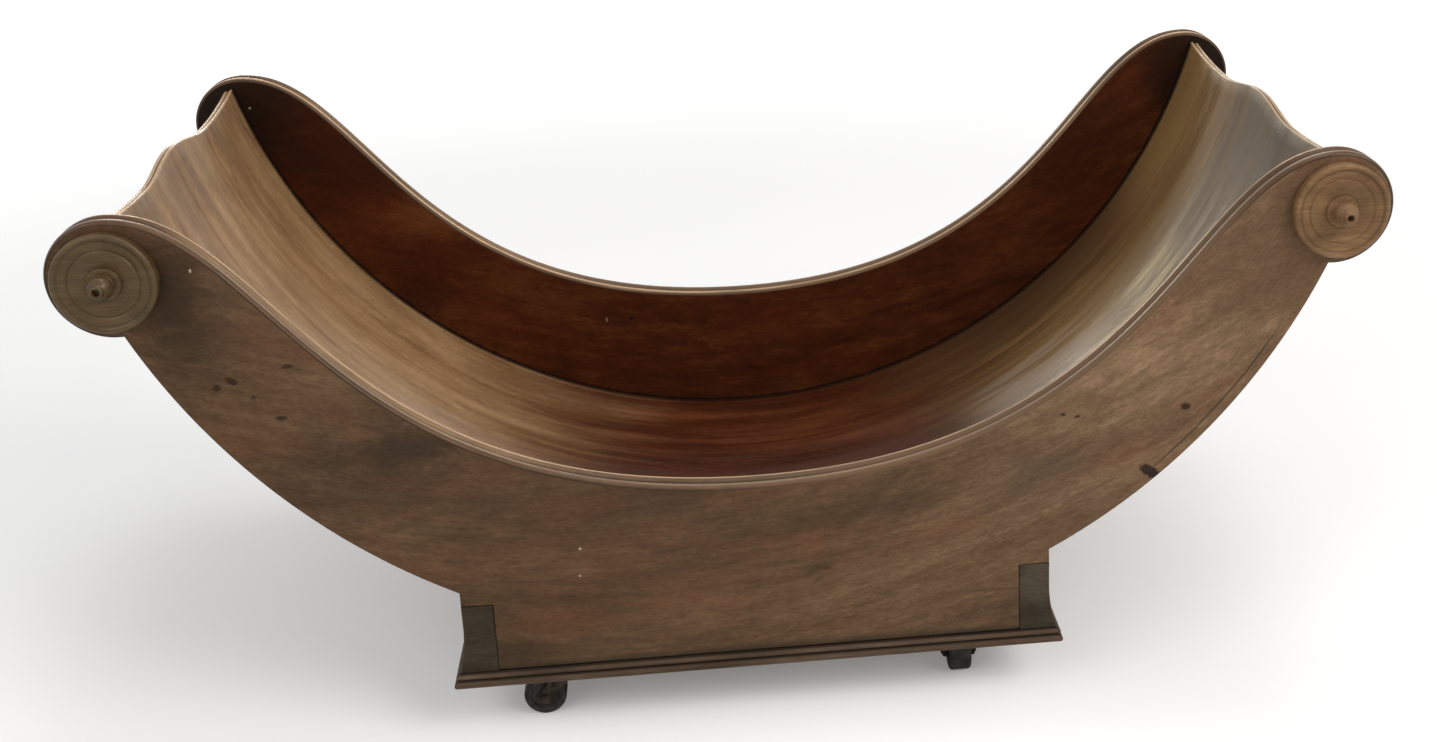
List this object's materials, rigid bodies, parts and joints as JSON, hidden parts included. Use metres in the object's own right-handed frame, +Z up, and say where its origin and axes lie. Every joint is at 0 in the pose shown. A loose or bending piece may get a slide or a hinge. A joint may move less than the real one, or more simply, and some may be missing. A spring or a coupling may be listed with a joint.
{
  "type": "cheese coaster",
  "caption": "Wooden cheese coaster: an arc-shaped trough between crescent sides with scroll ends and turned roundels, on a moulded plinth with swivelling castors.",
  "frame": {"origin": "on the ground, under the middle of the coaster", "axes": "+X along the trough, +Y across it from the front panel to the rear panel, +Z up"},
  "size_m": [0.44, 0.2224, 0.1966],
  "materials": {
    "mahogany_panel": "waxed, satin, faded mahogany",
    "mahogany_trough": "waxed, polished mahogany",
    "mahogany_end_grain": "dark end grain, dull",
    "mahogany_moulding": "waxed, satin, dark mahogany",
    "turned_mahogany": "turned and polished mahogany",
    "base_wood": "raw, darkened with age",
    "aged_brass": "tarnished cast brass",
    "dark_roller": "tarnished and dirty brass",
    "steel_screw": "dull dark steel"
  },
  "bodies": {
    "carcass": {"side_panel_front": "mahogany_panel", "side_panel_rear": "mahogany_panel", "trough_board": "mahogany_trough", "plinth_end_left": "mahogany_end_grain", "plinth_end_right": "mahogany_end_grain", "plinth_moulding_front": "mahogany_moulding", "plinth_moulding_rear": "mahogany_moulding", "plinth_moulding_left": "mahogany_moulding", "plinth_moulding_right": "mahogany_moulding", "base_board": "base_wood", "glue_block_front_left": "base_wood", "glue_block_front_right": "base_wood", "glue_block_rear_left": "base_wood", "glue_block_rear_right": "base_wood", "roundel_front_left": "turned_mahogany", "roundel_front_right": "turned_mahogany", "roundel_rear_left": "turned_mahogany", "roundel_rear_right": "turned_mahogany", "castor_plate_front_left": "aged_brass", "castor_plate_front_right": "aged_brass", "castor_plate_rear_left": "aged_brass", "castor_plate_rear_right": "aged_brass", "swivel_pin_front_left": "aged_brass", "swivel_pin_front_right": "aged_brass", "swivel_pin_rear_left": "aged_brass", "swivel_pin_rear_right": "aged_brass", "screw_front_left_1": "steel_screw", "screw_front_left_2": "steel_screw", "screw_front_left_3": "steel_screw", "screw_front_left_4": "steel_screw", "screw_front_right_1": "steel_screw", "screw_front_right_2": "steel_screw", "screw_front_right_3": "steel_screw", "screw_front_right_4": "steel_screw", "screw_rear_left_1": "steel_screw", "screw_rear_left_2": "steel_screw", "screw_rear_left_3": "steel_screw", "screw_rear_left_4": "steel_screw", "screw_rear_right_1": "steel_screw", "screw_rear_right_2": "steel_screw", "screw_rear_right_3": "steel_screw", "screw_rear_right_4": "steel_screw"},
    "horn_front_left": {"castor_horn_front_left": "aged_brass", "axle_pin_front_left": "aged_brass"},
    "horn_front_right": {"castor_horn_front_right": "aged_brass", "axle_pin_front_right": "aged_brass"},
    "horn_rear_left": {"castor_horn_rear_left": "aged_brass", "axle_pin_rear_left": "aged_brass"},
    "horn_rear_right": {"castor_horn_rear_right": "aged_brass", "axle_pin_rear_right": "aged_brass"},
    "roller_body_front_left": {"roller_front_left": "dark_roller"},
    "roller_body_front_right": {"roller_front_right": "dark_roller"},
    "roller_body_rear_left": {"roller_rear_left": "dark_roller"},
    "roller_body_rear_right": {"roller_rear_right": "dark_roller"}
  },
  "joints": [
    {"name": "swivel_front_left", "type": "hinge", "parent": "carcass", "child": "horn_front_left", "pos_m": [-0.0725, -0.0862, 0.0169], "axis": [0, 0, 1], "continuous": true},
    {"name": "swivel_front_right", "type": "hinge", "parent": "carcass", "child": "horn_front_right", "pos_m": [0.0725, -0.0862, 0.0169], "axis": [0, 0, 1], "continuous": true},
    {"name": "swivel_rear_left", "type": "hinge", "parent": "carcass", "child": "horn_rear_left", "pos_m": [-0.0725, 0.0862, 0.0169], "axis": [0, 0, 1], "continuous": true},
    {"name": "swivel_rear_right", "type": "hinge", "parent": "carcass", "child": "horn_rear_right", "pos_m": [0.0725, 0.0862, 0.0169], "axis": [0, 0, 1], "continuous": true},
    {"name": "roll_front_left", "type": "hinge", "parent": "horn_front_left", "child": "roller_body_front_left", "pos_m": [-0.078, -0.0862, 0.0075], "axis": [0, 1, 0], "continuous": true},
    {"name": "roll_front_right", "type": "hinge", "parent": "horn_front_right", "child": "roller_body_front_right", "pos_m": [0.0725, -0.0807, 0.0075], "axis": [1, 0, 0], "continuous": true},
    {"name": "roll_rear_left", "type": "hinge", "parent": "horn_rear_left", "child": "roller_body_rear_left", "pos_m": [-0.078, 0.0862, 0.0075], "axis": [0, 1, 0], "continuous": true},
    {"name": "roll_rear_right", "type": "hinge", "parent": "horn_rear_right", "child": "roller_body_rear_right", "pos_m": [0.067, 0.0862, 0.0075], "axis": [0, 1, 0], "continuous": true}
  ]
}
